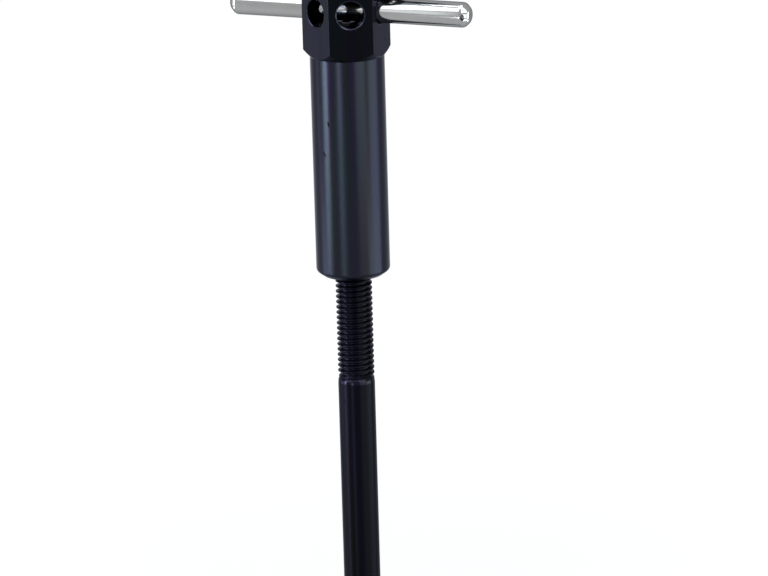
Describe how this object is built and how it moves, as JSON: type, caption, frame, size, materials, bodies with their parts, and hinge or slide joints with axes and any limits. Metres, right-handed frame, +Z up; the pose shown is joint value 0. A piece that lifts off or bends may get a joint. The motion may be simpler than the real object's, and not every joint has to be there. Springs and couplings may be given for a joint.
{
  "type": "bicycle rim jack",
  "caption": "Screw jack that stands between a wheel's hub and its rim and pushes a flat spot out, with a hexagon sleeve, a sliding bar, a hub saddle and a swivelling rim shoe.",
  "frame": {"origin": "centre of the hub's shell, which is the axis of the saddle's half-round seat", "axes": "+Z up the rod to the rim, +Y along the wheel's axle, +X along the rim"},
  "size_m": [0.048, 0.0722, 0.288],
  "materials": {
    "black_steel": "turned steel with an oiled black oxide",
    "bright_steel": "bright drawn bar, lightly worn",
    "bearing_steel": "ground and hardened",
    "screw_steel": "black oxide",
    "cage_brass": "pressed and drilled sheet",
    "liner_nylon": "moulded nylon"
  },
  "bodies": {
    "spindle": {"hub_saddle": "black_steel", "saddle_liner": "liner_nylon", "liner_screws": "screw_steel", "rod_pin": "screw_steel", "spindle_rod": "black_steel"},
    "bearing_carrier": {"ball_cage": "cage_brass", "thrust_balls": "bearing_steel"},
    "sleeve": {"jack_sleeve": "black_steel", "lower_race": "bearing_steel"},
    "bar": {"tommy_bar": "bright_steel"},
    "shoe": {"upper_race": "bearing_steel", "rim_shoe": "black_steel", "retaining_screw": "screw_steel", "rim_pad": "liner_nylon", "pad_screws": "screw_steel"}
  },
  "joints": [
    {"name": "jack_travel", "type": "slide", "parent": "spindle", "child": "bearing_carrier", "axis": [0, 0, 1], "range_m": [-0.03395, 0.026]},
    {"name": "sleeve_spin", "type": "hinge", "parent": "bearing_carrier", "child": "sleeve", "pos_m": [0, 0, 0.22605], "axis": [0, 0, 1], "range_deg": [-6980, 5340]},
    {"name": "bar_slide", "type": "slide", "parent": "sleeve", "child": "bar", "axis": [0.5, -0.866, 0], "range_m": [-0.0265, 0.0235]},
    {"name": "shoe_swivel", "type": "hinge", "parent": "bearing_carrier", "child": "shoe", "pos_m": [0, 0, 0.257], "axis": [0, 0, 1], "continuous": true}
  ],
  "couplings": [
    {"joint": "jack_travel", "follows": "sleeve_spin", "m_per_rad": 0.00027852}
  ]
}
